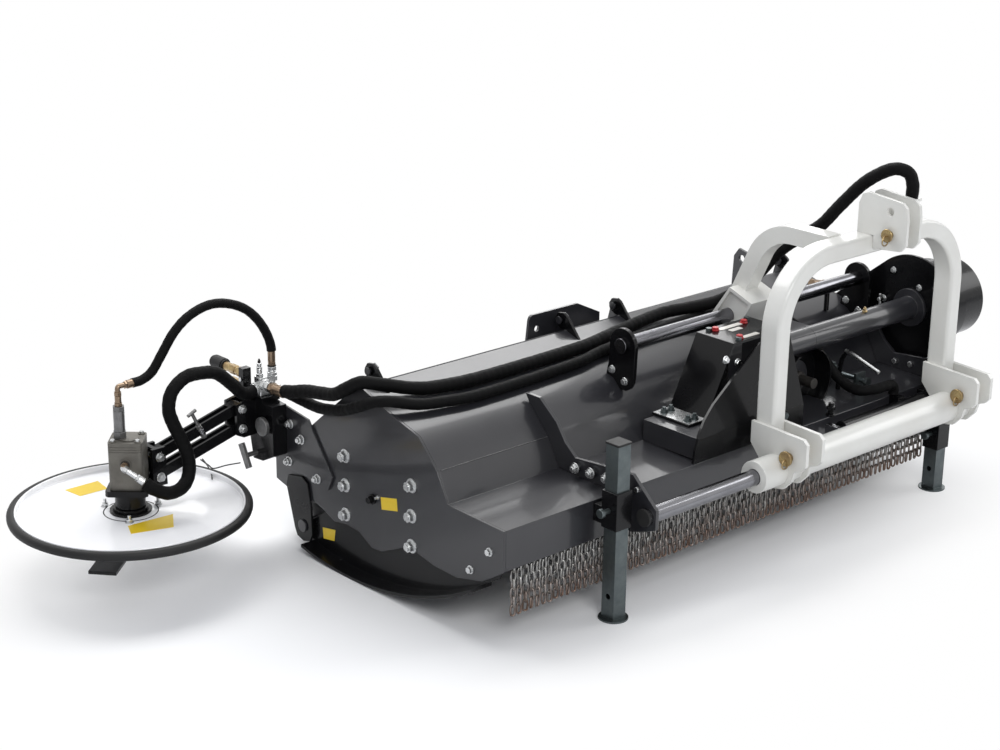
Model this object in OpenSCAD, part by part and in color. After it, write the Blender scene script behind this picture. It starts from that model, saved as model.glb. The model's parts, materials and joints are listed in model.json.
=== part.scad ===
/* [Housing] */
// Width over the two side plates
housing_w = 2010; // [1600:10:2600]
// Thickness of the side plates
plate_t = 8; // [6:1:12]
// Thickness of the bent housing sheet
sheet_t = 6; // [4:1:10]

/* [Hitch] */
// Centre of the near lower link pin along the machine
hitch_x = 1048; // [900:2:1200]
// Distance between the two lower link points
hitch_span = 870; // [825:1:870]
// Radius of the lower link pins
lower_pin_r = 14.2; // [11:0.1:18]
// Radius of the top link pin
top_pin_r = 12.7; // [9.5:0.1:16]
// Outer radius of the sliding beam
beam_r = 51; // [45:1:60]
// Radius of the front rail
rail_r = 25; // [20:1:32]

/* [Rotor] */
// Radius of the rotor tube
rotor_r = 80; // [60:1:100]
// Distance of the flail rods from the rotor axis
flail_pin_r = 115; // [100:1:130]
// Number of flails on each rod
flail_count = 24; // [8:1:32]

/* [Chains] */
// Number of chains in the curtain
chain_count = 80; // [40:1:100]
// Height of the lower end of the chains
chain_low = 76; // [40:1:150]

/* [Disc] */
// Radius of the white guard disc
disc_r = 345; // [250:1:450]
// Radius of the cutting blade
blade_r = 300; // [200:1:320]

/* [View] */
// Sub-part to draw, or all

/* [Hidden] */
// Offset from the machine axes to the centre of the bounding box
off_x = -691;
off_y = -621.5;
// Colours
c_body = [0.23, 0.23, 0.24];
c_black = [0.07, 0.07, 0.075];
c_white = [0.86, 0.86, 0.85];
c_zinc = [0.66, 0.68, 0.66];
c_chrome = [0.8, 0.81, 0.83];
c_brass = [0.75, 0.62, 0.3];
c_rust = [0.42, 0.3, 0.22];
c_cast = [0.5, 0.49, 0.47];
c_rubber = [0.06, 0.06, 0.06];
// Derived positions along X
x_in = plate_t;
x_out = housing_w - plate_t;
far_x = hitch_x + hitch_span;
// Rotor axis
ry = 557;
rz = 276;
// Cross shaft axis
sy = 140;
sz = 580;
// Power take off axis
px = 1450;
pz = 440;
// Disc axis
dx = -509;
dy = 1121;
// Outer line of the bent sheet from the front skirt to the rear edge of the roof
skin = [[0, 232], [0, 357], [240, 362], [288, 449], [372, 533], [493, 565], [640, 613]];
// Outer line of the rear hood
hood_line = [[652, 611], [1064, 262], [1072, 196]];
// Outline of a side plate
side_line = [
  [11, 224], [0, 232], [0, 357], [240, 362], [288, 449], [372, 533], [493, 565], [650, 617],
  [1074, 262], [1074, 190], [968, 164], [860, 168], [775, 136], [715, 146], [653, 142], [589, 109],
    [545, 112],
  [500, 132], [445, 158], [391, 167], [300, 150], [200, 147], [90, 173]
];
// Outline of a rail bracket
bracket_line = [
  [-165, 290], [-165, 350], [-66, 435], [60, 425], [170, 415], [215, 450], [255, 505], [330, 562],
  [392, 562], [372, 533.5], [288, 449.7], [240, 362.3], [0, 357.2], [0, 262], [-70, 255], [-130, 275]
];
// Outline of a lower clevis plate
clevis_line = [
  [-27, 455], [-232, 447], [-247, 433], [-247, 362], [-232, 345], [-205, 335], [-195, 300],
  [-165, 268], [-125, 260], [-88, 275], [-70, 305], [-66, 340], [-27, 385]
];
// Outline of a top clevis plate
top_line = [
  [-74, 1115], [-205, 1103], [-222, 1088], [-228, 1050], [-228, 972], [-208, 950], [-103.2, 940],
  [-103.2, 982.2], [-40, 982.2], [-40, 1075], [-52, 1105]
];
// Routes of the hoses, by hand
hose_a = [
  [-473.6, 1135, 600.1], [-440, 1134, 603], [-405, 1132, 622], [-370, 1129, 670], [-326, 1126, 730],
  [-272, 1123, 772], [-205, 1118, 794], [-140, 1112, 788], [-80, 1098, 760], [-36, 1084, 708],
  [-10, 1073, 640], [-8, 1072, 566.2]
];
hose_b = [
  [-517, 1018, 324.4], [-500, 1003, 307], [-462, 987, 288], [-418, 988, 288], [-382, 1001, 305],
  [-364, 1013, 340], [-366, 1021, 385], [-380, 1029, 430], [-402, 1035, 485], [-412, 1038, 530],
  [-396, 1041, 580], [-345, 1046, 612], [-285, 1050, 612], [-225, 1056, 596], [-165, 1064, 545],
  [-118, 1072, 502], [-74, 1072, 502]
];
feed_a = [
  [-46, 1046, 518], [-46, 990, 518], [-44, 920, 532], [-40, 850, 552], [-38, 780, 564], [-38, 715, 578],
  [-34, 660, 610], [-12, 615, 636], [40, 575, 628], [120, 544, 608], [200, 524, 599], [380, 512, 594],
  [770, 517, 597], [900, 530, 601], [1010, 546, 606], [1210, 562, 616], [1310, 530, 624], [1395, 480, 642],
  [1445, 420, 690], [1460, 350, 765], [1460, 280, 845], [1454, 190, 915], [1454, 110, 970],
    [1470, 50, 1045],
  [1490, -25, 1130], [1518, -100, 1180], [1538, -148, 1176], [1545, -164, 1140], [1545, -164, 1098.2]
];
feed_b = [
  [-2, 1046, 496], [-2, 990, 496], [-24, 830, 505], [-32, 750, 518], [-32, 680, 536], [-32, 610, 566],
  [-22, 550, 594], [10, 505, 602], [80, 472, 586], [170, 454, 579], [320, 441, 574], [710, 455, 578],
  [850, 478, 584], [1160, 504, 593], [1340, 504, 593], [1480, 480, 594], [1580, 410, 588],
  [1620, 310, 545], [1622, 210, 475], [1614, 120, 415], [1620, 50, 392], [1660, 10, 394],
  [1700, -2, 398], [1738, -4, 396], [1752, -4, 380], [1752, -4, 360.2]
];
// Outline of a rounded bar, w by d with corners of radius r
function rounded_bar(w, d, r) = [
  for (c = [[1, 1, 0], [-1, 1, 90], [-1, -1, 180], [1, -1, 270]]) for (a = [0:30:90])
  [c[0] * (w / 2 - r) + r * cos(c[2] + a), c[1] * (d / 2 - r) + r * sin(c[2] + a)]];

// Places a piece drawn in machine axes into the shared frame
module place() {
  translate([off_x, off_y, 0]) children();
}
// Extrudes a side-view outline along X
module side(x, t) {
  translate([x, 0, 0]) rotate([90, 0, 90]) linear_extrude(t) children();
}
// Extrudes a front-view outline along Y
module front(y, t) {
  translate([0, y + t, 0]) rotate([90, 0, 0]) linear_extrude(t) children();
}
// Cylinders along X, Y and Z
module cx(x0, x1, y, z, r) {
  translate([x0, y, z]) rotate([0, 90, 0]) cylinder(h = x1 - x0, r = r, $fn = 48);
}
module cy(x, y0, y1, z, r) {
  translate([x, y0, z]) rotate([-90, 0, 0]) cylinder(h = y1 - y0, r = r, $fn = 48);
}
module cz(x, y, z0, z1, r) {
  translate([x, y, z0]) cylinder(h = z1 - z0, r = r, $fn = 48);
}
// Hexagons along X, Y and Z
module hx(x0, x1, y, z, r) {
  translate([x0, y, z]) rotate([0, 90, 0]) cylinder(h = x1 - x0, r = r, $fn = 6);
}
module hy(x, y0, y1, z, r) {
  translate([x, y0, z]) rotate([-90, 0, 0]) cylinder(h = y1 - y0, r = r, $fn = 6);
}
module hz(x, y, z0, z1, r) {
  translate([x, y, z0]) cylinder(h = z1 - z0, r = r, $fn = 6);
}
module box(x0, x1, y0, y1, z0, z1) {
  translate([x0, y0, z0]) cube([x1 - x0, y1 - y0, z1 - z0]);
}

// A line thickened to its right-hand side
function unit(v) = v / norm(v);
function side_of(a, b) = let(d = unit(b - a)) [d[1], -d[0]];
function miter(p, i) =
  i == 0 ? side_of(p[0], p[1]) :
  i == len(p) - 1 ? side_of(p[i - 1], p[i]) :
  let(a = side_of(p[i - 1], p[i]), b = side_of(p[i], p[i + 1]), m = unit(a + b)) m / (m * a);
function strip(p, t) = concat(p, [for (i = [len(p) - 1:-1:0]) p[i] + t * miter(p, i)]);

// A tube swept along a route as one closed form
function tangent(p, i) = unit(p[min(i + 1, len(p) - 1)] - p[max(i - 1, 0)]);
function carry(n, t) = unit(n - (n * t) * t);
function normals(p, i = 0, acc = []) =
  i == len(p) ? acc :
  normals(p, i + 1, concat(acc, [carry(i == 0 ? [0.31, 0.17, 0.93] : acc[i - 1], tangent(p, i))]));
module tube(p, r, n = 8) {
  ns = normals(p);
  pts = [for (i = [0:len(p) - 1]) let(t = tangent(p, i), u = ns[i], w = cross(t, u))
    for (k = [0:n - 1]) p[i] + r * (cos(k * 360 / n) * u + sin(k * 360 / n) * w)];
  quads = [for (i = [0:len(p) - 2]) for (k = [0:n - 1])
    [i * n + k, i * n + (k + 1) % n, (i + 1) * n + (k + 1) % n, (i + 1) * n + k]];
  start = [[for (k = [n - 1:-1:0]) k]];
  end = [[for (k = [0:n - 1]) (len(p) - 1) * n + k]];
  polyhedron([for (q = pts) q], [for (f = concat(quads, start, end)) [for (k = [len(f) - 1:-1:0]) f[k]]]);
}

// Housing of the rotor
module housing_shell() {
  color(c_body) place() side(x_in, x_out - x_in) polygon(strip(skin, sheet_t));
}
module near_side_plate() {
  color(c_body) place() {
    side(0, plate_t) polygon(side_line);
    difference() {
      cx(plate_t, 40, ry, rz, 90);
      cx(14, 41, ry, rz, 30.6);
    }
  }
}
module far_side_plate() {
  color(c_body) place() difference() {
    union() {
      side(x_out, plate_t) polygon(side_line);
      cx(x_out - 32, x_out, ry, rz, 90);
    }
    cx(x_out - 33, housing_w + 1, ry, rz, 30.6);
  }
}
module side_nuts() {
  color(c_zinc) place() {
    for (y = [400, 714]) for (k = [-1:1]) {
      cx(-3, 0, y, rz + 96 * k, 22);
      hx(-19, -3, y, rz + 96 * k, 17);
      cx(-25, -19, y, rz + 96 * k, 10);
    }
    for (q = [[58, 277], [138, 195]]) {
      cx(-3, 0, q[0], q[1], 13);
      hx(-12, -3, q[0], q[1], 10);
      cx(housing_w, housing_w + 3, q[0], q[1], 13);
      hx(housing_w + 3, housing_w + 12, q[0], q[1], 10);
    }
    cx(-5, 0, 557, 285, 7);
    cx(-12, -5, 557, 285, 4);
  }
}
// A skid has an upright web and a curved sole of constant radius
module skid_web(x) {
  intersection() {
    side(x, 8) polygon([[14, 228], [70, 120], [100, -5], [900, -5], [900, 100], [800, 170], [640, 172],
      [540, 150],
      [400, 190], [120, 200], [60, 222]]);
    cx(x - 1, x + 9, 660, 1150, 1140);
  }
}
module skid_sole(x0, x1) {
  intersection() {
    difference() {
      cx(x0, x1, 660, 1150, 1150);
      cx(x0 - 1, x1 + 1, 660, 1150, 1140);
    }
    box(x0 - 2, x1 + 2, 83, 891, -5, 200);
  }
}
module skids() {
  color(c_black) place() {
    skid_web(plate_t);
    skid_sole(-45, 32);
    skid_web(x_out - 8);
    skid_sole(housing_w - 32, housing_w + 45);
  }
}
// Front rail with its brackets
module rail_bracket(x) {
  difference() {
    side(x, 12) polygon(bracket_line);
    cx(x - 1, x + 13, -130, 323, rail_r);
  }
}
module rail_brackets() {
  color(c_black) place() {
    rail_bracket(440);
    rail_bracket(1976);
  }
}
module bracket_bolts() {
  color(c_zinc) place() {
    for (q = [[30, 395], [95, 392], [160, 388]]) {
      hx(431, 440, q[0], q[1], 11);
      cx(452, 458, q[0], q[1], 13);
    }
    for (q = [[30, 395], [95, 392], [160, 388]]) hx(1967, 1976, q[0], q[1], 11);
    hx(452, 459, -90, 395, 9);
    hx(431, 440, -90, 395, 9);
  }
}
module front_rail() {
  color(c_chrome) place() difference() {
    cx(428, 1996, -130, 323, rail_r);
    cx(427, 1997, -130, 323, rail_r - 7);
  }
}
module upper_rail() {
  color(c_chrome) place() cx(790, 1990, 338, 648, 24);
}
module rail_ring(x) {
  difference() {
    union() {
      cx(x, x + 14, 338, 648, 55);
      side(x, 14) polygon([[283, 648], [286, 560], [290, 532], [300, 514], [318, 503], [344, 505.2],
        [372, 533.2], [404, 541.7], [396, 580], [393, 648]]);
    }
    cx(x - 1, x + 15, 338, 648, 24);
  }
}
module upper_rail_brackets() {
  color(c_black) place() {
    rail_ring(800);
    rail_ring(1961);
  }
}
// Parking legs
module leg_sleeve(y, x, z0, z1) {
  difference() {
    box(x - 31, x + 31, y - 31, y + 31, z0, z1);
    box(x - 25.6, x + 25.6, y - 25.6, y + 25.6, z0 - 1, z1 + 1);
  }
}
module leg_sleeves() {
  color(c_black) place() {
    leg_sleeve(-69, 376, 290, 405);
    box(350, 402, -38, 0, 296, 350);
    leg_sleeve(-69, 1924, 150, 250);
    box(1898, 1950, -38, 0, 236, 250);
  }
}
module leg_pins() {
  color(c_zinc) place() {
    cx(318, 345, -69, 348, 8);
    cx(306, 318, -69, 348, 14);
    cx(1866, 1893, -69, 205, 8);
    cx(1854, 1866, -69, 205, 14);
  }
}
module leg(x, top) {
  difference() {
    union() {
      box(x - 25, x + 25, -94, -44, 5, top - 10);
      cz(x, -69, 0, 5, 45);
      box(x - 25, x + 25, -94, -44, top - 10, top);
    }
    box(x - 21, x + 21, -90, -48, 6, top - 12);
    cx(x - 26, x + 26, -69, 75, 9);
  }
}
module near_leg() {
  color(c_zinc) place() leg(376, 547);
}
module far_leg() {
  color(c_zinc) place() leg(1924, 256);
}
// Gearbox on its plinth
module gearbox_plinth() {
  color(c_body) place() difference() {
    box(800, 1300, 14, 236, 362.2, 433);
    box(806, 1301, 20, 230, 362, 427);
  }
}
module gearbox_stand() {
  color(c_black) place() {
    front(92, 156) polygon([[850, 433.2], [935, 433.2], [1045, 657], [1290, 657], [1290, 665], [1040, 665],
      [930, 441], [850, 441]]);
    front(160, 8) polygon([[944, 441], [1100, 441], [1100, 656.8], [1050, 656.8]]);
  }
}
module gearbox_gusset() {
  color(c_black) place() intersection() {
    side(778, 512) polygon(strip([[2, 357.4], [2, 433], [76, 650]], 10));
    front(-5, 120) polygon([[778, 350], [785, 400], [800, 440], [840, 480], [890, 515], [1153, 652],
      [1290, 652],
      [1290, 350]]);
  }
}
module gearbox_case() {
  color(c_cast) place() difference() {
    union() {
      side(1350, 200) polygon([[186, 362.5], [239, 363.5], [287, 451], [322, 486], [322, 592], [186, 592]]);
      cx(1292, 1458.2, sy, sz, 40);
      box(1352, 1420, 168, 240, 552, 608);
      cy(px, 172, 186, pz, 60);
    }
    cx(1320, 1459, sy, sz, 20);
    cy(px, 171, 230, pz, 19);
  }
}
module gearbox_bolts() {
  color(c_zinc) place() {
    for (q = [[875, 120], [875, 220], [905, 120], [905, 220]]) {
      cz(q[0], q[1], 441, 444, 14);
      hz(q[0], q[1], 444, 453, 11);
      cz(q[0], q[1], 453, 460, 6);
    }
    for (q = [[1150, 398], [1195, 394], [1150, 421], [1195, 417]]) hy(q[0], -9, 2, q[1], 11);
    for (x = [1080, 1260]) for (y = [108, 232]) hz(x, y, 665, 674, 10);
  }
}
module pto_shield() {
  color(c_black) place() intersection() {
    difference() {
      cy(px, 112, 185, pz, 114);
      cy(px, 111, 181, pz, 109);
      cy(px, 180, 186, pz, 61);
    }
    box(px - 120, px + 120, 100, 190, 361.5, 538);
  }
}
module pto_shaft() {
  color(c_chrome) place() {
    cy(px, 92, 150, pz, 17.5);
    cy(px, 150, 164, pz, 26);
    cy(px, 164, 229, pz, 18.5);
  }
}
// Cross drive to the belt side
module drive_tube() {
  color(c_body) place() difference() {
    union() {
      cx(1458.5, housing_w, sy, sz, 40);
      cx(housing_w - 12, housing_w, sy, sz, 66);
    }
    cx(1457, housing_w + 1, sy, sz, 20);
  }
}
module cross_shaft() {
  color(c_zinc) place() {
    cx(1330, 2112, sy, sz, 18);
    cx(2040, 2106, sy, sz, 100);
  }
}
module stadium(x0, x1, r1, r2) {
  d = sqrt(pow(ry - sy, 2) + pow(rz - sz, 2));
  a = atan2(rz - sz, ry - sy);
  b = acos((r1 - r2) / d);
  cx(x0, x1, sy, sz, r1);
  cx(x0, x1, ry, rz, r2);
  p1 = r1 - 0.06;
  p2 = r2 - 0.06;
  side(x0, x1 - x0) polygon([
    [sy + p1 * cos(a + b), sz + p1 * sin(a + b)], [sy + p1 * cos(a - b), sz + p1 * sin(a - b)],
    [ry + p2 * cos(a - b), rz + p2 * sin(a - b)], [ry + p2 * cos(a + b), rz + p2 * sin(a + b)]
  ]);
}
module belt_guard_plate() {
  color(c_black) place() difference() {
    stadium(housing_w, housing_w + 10, 182, 160);
    cx(housing_w - 1, housing_w + 11, sy, sz, 20);
    cx(housing_w - 1, housing_w + 11, ry, rz, 34);
  }
}
module belt_cover() {
  color(c_black) place() difference() {
    union() {
      stadium(housing_w + 10, 2125, 150, 146);
      cx(2125, 2240, sy, sz, 136);
      translate([2240, sy, sz]) rotate([0, 90, 0]) cylinder(h = 20, r1 = 136, r2 = 110, $fn = 48);
    }
    difference() {
      stadium(housing_w + 9, 2121, 146, 142);
    }
    cx(2120, 2236, sy, sz, 131);
  }
}
module lower_pulley() {
  color(c_cast) place() difference() {
    cx(2040, 2106, ry, rz, 108);
    cx(2039, 2107, ry, rz, 30);
  }
}
module drive_belts() {
  color(c_rubber) place() difference() {
    stadium(2044, 2102, 109, 117);
    stadium(2043, 2103, 100.6, 108.6);
  }
}
module belt_tensioner() {
  color(c_zinc) place() {
    cx(1640, 1720, 230, 402, 20);
    cy(1680, 60, 218, 405, 9);
    box(1640, 1720, 216, 242, 380.5, 424);
    hy(1680, 46, 60, 405, 16);
    box(1655, 1705, 80, 90, 361, 430);
  }
}
// Side shift cylinder behind the beam
module shift_cylinder() {
  color(c_black) place() {
    difference() {
      union() {
        cx(1440, 1890, -38, 325, 24);
        box(1736, 1768, -38, -1, 330, 360);
      }
      cx(1439, 1880, -38, 325, 12.5);
    }
    box(1890, 1904, -60, 0, 304, 346);
  }
}
module shift_rod() {
  color(c_chrome) place() {
    cx(1398, 1870, -38, 325, 12);
    difference() {
      box(1378, 1398, -83, -20, 300, 350);
      cx(1377, 1399, -130, 323, beam_r + 0.2);
    }
  }
}
// Rotor with two rows of swinging flails
module rotor_drum() {
  color(c_rust) place() {
    cx(44, 1966, ry, rz, rotor_r);
    cx(16, 44, ry, rz, 30);
    cx(1966, 2112, ry, rz, 30);
  }
}
lug_step = (1880 - 70) / flail_count;
module rotor_lugs() {
  color(c_body) place() difference() {
    for (i = [0:flail_count]) {
      x = 66 + i * lug_step;
      translate([x, ry, rz]) rotate([90, 0, 90]) linear_extrude(10)
        polygon([[-135, -16], [-135, 16], [-70, 44], [70, 44], [135, 16], [135, -16], [70, -44],
          [-70, -44]]);
    }
    cx(50, 1960, ry, rz, rotor_r);
    for (s = [-1, 1]) cx(50, 1960, ry + s * flail_pin_r, rz, 10.5);
  }
}
module flail_row(s) {
  y = ry + s * flail_pin_r;
  cx(52, 1958, y, rz, 10);
  for (i = [0:flail_count - 1]) {
    x = 66 + (i + 0.5) * lug_step - 12;
    difference() {
      union() {
        cx(x, x + 34, y, rz, 20);
        side(x, 34) polygon([[y - 12, rz], [y + 12, rz], [y + 12, rz - 70], [y + 18, rz - 108],
          [y - 14, rz - 112],
          [y - 12, rz - 70]]);
      }
      cx(x - 1, x + 35, y, rz, 9.9);
    }
  }
}
module front_flails() {
  color(c_rust) place() flail_row(-1);
}
module rear_flails() {
  color(c_rust) place() flail_row(1);
}
// Chain curtain as one comb, hung from its rod
module chain_curtain() {
  pitch = (1966 - 40) / chain_count;
  top = 333;
  teeth = [for (i = [0:chain_count - 1]) for (q = [[2, 316], [2, chain_low], [17, chain_low], [17, 316]])
    [40 + i * pitch + q[0], q[1]]];
  color(c_rust) place() {
    front(10, 9) polygon(concat([[36, top], [36, 316]], teeth, [[1970, 316], [1970, top]]));
    cx(14, 1996, 14.5, 325, 6);
  }
}
// Rear hood on its hinge
ear_x = [60, 850, 1096, 1940];
module hinge_ears() {
  color(c_black) place() difference() {
    for (x = ear_x) side(x, 10) polygon([[582, 594.1], [640, 613], [652, 614], [664, 612],
      [688, 626], [692, 646], [680, 664], [655, 668], [636, 656]]);
    for (x = ear_x) cx(x - 1, x + 11, 668, 642, 8.4);
  }
}
module rear_hood() {
  color(c_body) place() {
    side(x_in + 11, x_out - x_in - 14) polygon(strip(hood_line, 5));
    for (x = ear_x) {
      side(x + 12, 10) polygon([[662, 599], [650, 655], [668, 664], [690, 655], [716, 554]]);
      cx(x - 6, x + 12, 668, 642, 8);
      cx(x - 10, x - 6, 668, 642, 13);
    }
    difference() {
      side(1820, 10) polygon([[700, 567], [705, 640], [725, 682], [760, 690], [782, 660], [790, 491]]);
      cx(1819, 1831, 745, 655, 13);
    }
    difference() {
      front(705, 10) polygon([[735, 560], [746, 652], [751, 662], [761, 667], [963, 667], [1067, 617],
        [1067, 560]]);
      cy(780, 690, 720, 617, 10);
    }
  }
}
// Rear roller
module rear_roller() {
  color(c_body) place() {
    cx(35, 1975, 925, 76, 75);
    cx(-14, 35, 925, 76, 20);
    cx(1975, 2024, 925, 76, 20);
  }
}
module roller_plate(x) {
  difference() {
    side(x, 8) polygon([[880, 56], [892, 32], [925, 22], [958, 32], [970, 56], [1010, 190],
      [1000, 225], [930, 240],
      [900, 225], [885, 150]]);
    cx(x - 1, x + 9, 925, 76, 20.5);
  }
}
module roller_brackets() {
  color(c_black) place() {
    roller_plate(-8.2);
    roller_plate(housing_w + 0.2);
  }
}
// Three point hitch that slides sideways on the two rails
module hitch_beam() {
  color(c_white) place() difference() {
    cx(905, 1960, -130, 323, beam_r);
    cx(904, 1961, -130, 323, rail_r + 0.6);
  }
}
module post_outline() {
  polygon(rounded_bar(60, 75, 12));
}
module hitch_hoop() {
  color(c_white) place() {
    for (x = [hitch_x, far_x]) translate([x, -65, 372]) linear_extrude(370) post_outline();
    for (s = [[hitch_x, 1], [far_x, -1]]) translate([s[0] + 210 * s[1], -65, 742]) rotate([90, 0, 0])
      rotate([0, 0, s[1] > 0 ? 90 : 0]) rotate_extrude(angle = 90, $fn = 96) translate([210, 0])
        post_outline();
    translate([hitch_x + 210, -65, 952]) rotate([0, 90, 0]) linear_extrude(far_x - hitch_x - 420)
      post_outline();
  }
}
module lower_clevises() {
  color(c_white) place() difference() {
    for (x = [hitch_x, far_x]) for (s = [-44.2, 30.2]) side(x + s, 14) polygon(clevis_line);
    for (x = [hitch_x, far_x]) cx(x - 50, x + 50, -183, 378, lower_pin_r + 0.2);
    cx(900, 2000, -130, 323, beam_r + 0.05);
  }
}
module top_clevis() {
  color(c_white) place() difference() {
    union() {
      for (s = [-38, 26]) side(1483 + s, 12) polygon(top_line);
      box(1521, 1568, -186, -142, 1088, 1098);
    }
    cx(1440, 1530, -166, 996, top_pin_r + 0.2);
    cx(1440, 1530, -162, 1068, 12.9);
  }
}
module lower_pins() {
  color(c_brass) place() for (x = [hitch_x, far_x]) {
    cx(x - 58, x + 62, -183, 378, lower_pin_r);
    cx(x - 66, x - 58, -183, 378, 24);
    cx(x + 54, x + 57, -183, 378, 18);
  }
}
module top_pin() {
  color(c_brass) place() {
    cx(1433, 1533, -166, 996, top_pin_r);
    cx(1427, 1433, -166, 996, 21);
  }
}
module hitch_strut() {
  color(c_white) place() {
    box(1320, 1380, -27.4, 120, 927, 983);
    difference() {
      cx(1320, 1380, 120, 795, 188);
      cx(1319, 1381, 120, 795, 132);
      side(1319, 62) polygon([[120, 795], [120, 1100], [-200, 1100], [-200, 500], [500, 500],
        [500, 795 + 380 * tan(25)]]);
    }
    side(1320, 60) polygon([
      [120 + 132 * cos(25), 795 + 132 * sin(25)], [120 + 188 * cos(25), 795 + 188 * sin(25)],
      [120 + 188 / cos(25) + 115 * tan(25), 680],
      [120 + 132 / cos(25) + 115 * tan(25), 680]
    ]);
    difference() {
      side(1280, 140) polygon([[386, 600], [404, 616], [404, 638], [328, 748], [231, 713], [269, 643],
        [284, 600]]);
      side(1279, 13) polygon([[390, 636], [326, 735], [246, 706], [281, 640]]);
      cx(1279, 1421, 338, 648, 24.6);
    }
  }
}
// Arm and side disc
module arm_plate() {
  color(c_body) place() {
    side(-8.2, 8) polygon([[771, 283], [793, 236], [872, 244], [1005, 250], [1060, 330], [1165, 345],
      [1165, 461],
      [1060, 461], [890, 440]]);
    for (q = [[980, 402], [924, 366], [990, 275], [844, 259]]) {
      cx(-12, -8.2, q[0], q[1], 14);
      hx(-21, -12, q[0], q[1], 12);
    }
  }
}
module arm_carrier() {
  color(c_black) place() difference() {
    union() {
      box(-62, -8.4, 1078, 1164, 352, 462);
      front(1086, 12) polygon([[-62, 352], [-62, 462], [-95, 470], [-135, 462], [-135, 362], [-110, 350]]);
      front(1142, 12) polygon([[-62, 352], [-62, 462], [-95, 470], [-135, 462], [-135, 362], [-110, 350]]);
      side(-62, 53.6) polygon([[1000, 298], [1057, 268], [1108, 264], [1125, 352], [1125, 462], [1000, 462]]);
      cx(-72, -62, 1031, 395, 20);
      box(-92, -62, 1108, 1132, 440, 566);
      box(-62, 4, 1050, 1150, 462, 478);
    }
    for (z = [446, 381]) cy(-115, 1080, 1160, z, 8.4);
    cx(-63, -40, 1090, 287, 8.4);
  }
}
module turn_knob() {
  color(c_zinc) place() cx(-86, -72.3, 1031, 395, 30);
}
module clamp_handle() {
  color(c_zinc) place() {
    cx(-101, -42, 1090, 287, 8);
    translate([-112, 1090, 287]) rotate([-28, 0, 0]) translate([0, -11, -41]) cube([12, 22, 82]);
  }
}
module arm_bar(z) {
  d = [305, 0, 83];
  a = atan2(83, 305);
  translate([-420, 0, z]) rotate([0, -a, 0]) difference() {
    union() {
      box(0, norm(d), 1102, 1138, -17, 17);
      cy(0, 1102, 1138, 0, 17);
      cy(norm(d), 1102, 1138, 0, 17);
    }
    box(30, norm(d) - 30, 1110, 1130, -18, 18);
  }
}
module upper_arm() {
  color(c_black) place() {
    arm_bar(363);
    cy(-420, 1082, 1158, 363, 8);
    cy(-115, 1082, 1158, 446, 8);
  }
}
module lower_arm() {
  color(c_black) place() {
    arm_bar(298);
    cy(-420, 1082, 1158, 298, 8);
    cy(-115, 1082, 1158, 381, 8);
  }
}
module turned_square(w, r) {
  intersection() {
    translate([dx, dy, 0]) rotate([0, 0, -42]) translate([-w / 2, -w / 2, 0]) children();
    cz(dx, dy, 200, 700, r);
  }
}
module disc_head() {
  color(c_black) place() difference() {
    union() {
      front(1086, 12) polygon([[-470, 270], [-470, 288], [-446, 288], [-446, 392], [-400, 392],
        [-396, 270]]);
      front(1142, 12) polygon([[-470, 270], [-470, 288], [-446, 288], [-446, 392], [-400, 392],
        [-396, 270]]);
      box(-438, -424, 1098, 1142, 384, 392);
      intersection() {
        turned_square(128, 84) translate([0, 0, 270]) cube([128, 128, 18]);
        box(-620, -446, 1000, 1240, 260, 300);
      }
      cz(dx, dy, 222, 270, 46);
    }
    for (z = [363, 298]) cy(-420, 1080, 1160, z, 8.4);
    cz(dx, dy, 221, 270, 20);
  }
}
module disc_motor() {
  color(c_cast) place() {
    turned_square(104, 68) translate([0, 0, 288]) cube([104, 104, 154]);
    cz(dx - 16, dy + 14, 442, 540, 19);
    cz(dx - 16, dy + 14, 540, 600, 9);
    cx(dx - 16, -475, dy + 14, 600, 9);
    translate([dx, dy, 372]) rotate([0, 0, -42]) {
      translate([0, -40, 0]) rotate([90, 0, 0]) cylinder(h = 50, r = 11.8, $fn = 48);
      translate([0, -82, 0]) rotate([0, 127, 0]) cylinder(h = 76, r = 10, $fn = 48);
    }
  }
}
module guard_disc() {
  color(c_white) place() {
    difference() {
      union() {
        cz(dx, dy, 196, 201, disc_r - 6);
        translate([dx, dy, 196]) rotate_extrude($fn = 96) polygon([[disc_r - 10, 0], [disc_r - 4, 0],
          [disc_r - 4, 26],
          [disc_r - 10, 26]]);
      }
      cz(dx, dy, 190, 210, 22);
    }
    translate([dx, dy, 209]) rotate_extrude($fn = 96) translate([disc_r + 10, 0]) circle(r = 14, $fn = 24);
    for (k = [0:2]) rotate_about(120 * k - 5) {
      cz(dx + 92, dy, 201, 204, 13);
      hz(dx + 92, dy, 204, 214, 11);
    }
  }
}
module rotate_about(a) {
  translate([dx, dy, 0]) rotate([0, 0, a]) translate([-dx, -dy, 0]) children();
}
module cutting_blade() {
  color(c_black) place() {
    cz(dx, dy, 122, 136, 60);
    cz(dx, dy, 136, 262, 18);
    for (k = [0, 180]) rotate_about(k + 41) box(dx + 50, dx + blade_r, dy - 42, dy + 42, 124, 134);
  }
}
module valve_block() {
  color(c_zinc) place() {
    box(-60, 4, 1064, 1102, 478.2, 540);
    for (q = [[-46, 518, 15], [-2, 496, 13]]) cy(q[0], 1046.2, 1064.5, q[1], q[2]);
    cx(-73.8, -60, 1072, 502, 13);
    cz(-8, 1072, 540, 566, 12);
    cz(-44, 1088, 540, 590, 9);
    cy(-77, 1132, 1226, 545, 16);
    cy(-77, 1226, 1290, 545, 22);
    cy(-77, 1132, 1215, 502, 16);
  }
}
module arm_hoses() {
  color(c_rubber) place() {
    tube(hose_a, 15);
    tube(hose_b, 21);
  }
}
module feed_hose() {
  color(c_rubber) place() tube(feed_a, 21);
}
module shift_hose() {
  color(c_rubber) place() tube(feed_b, 18);
}

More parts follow.
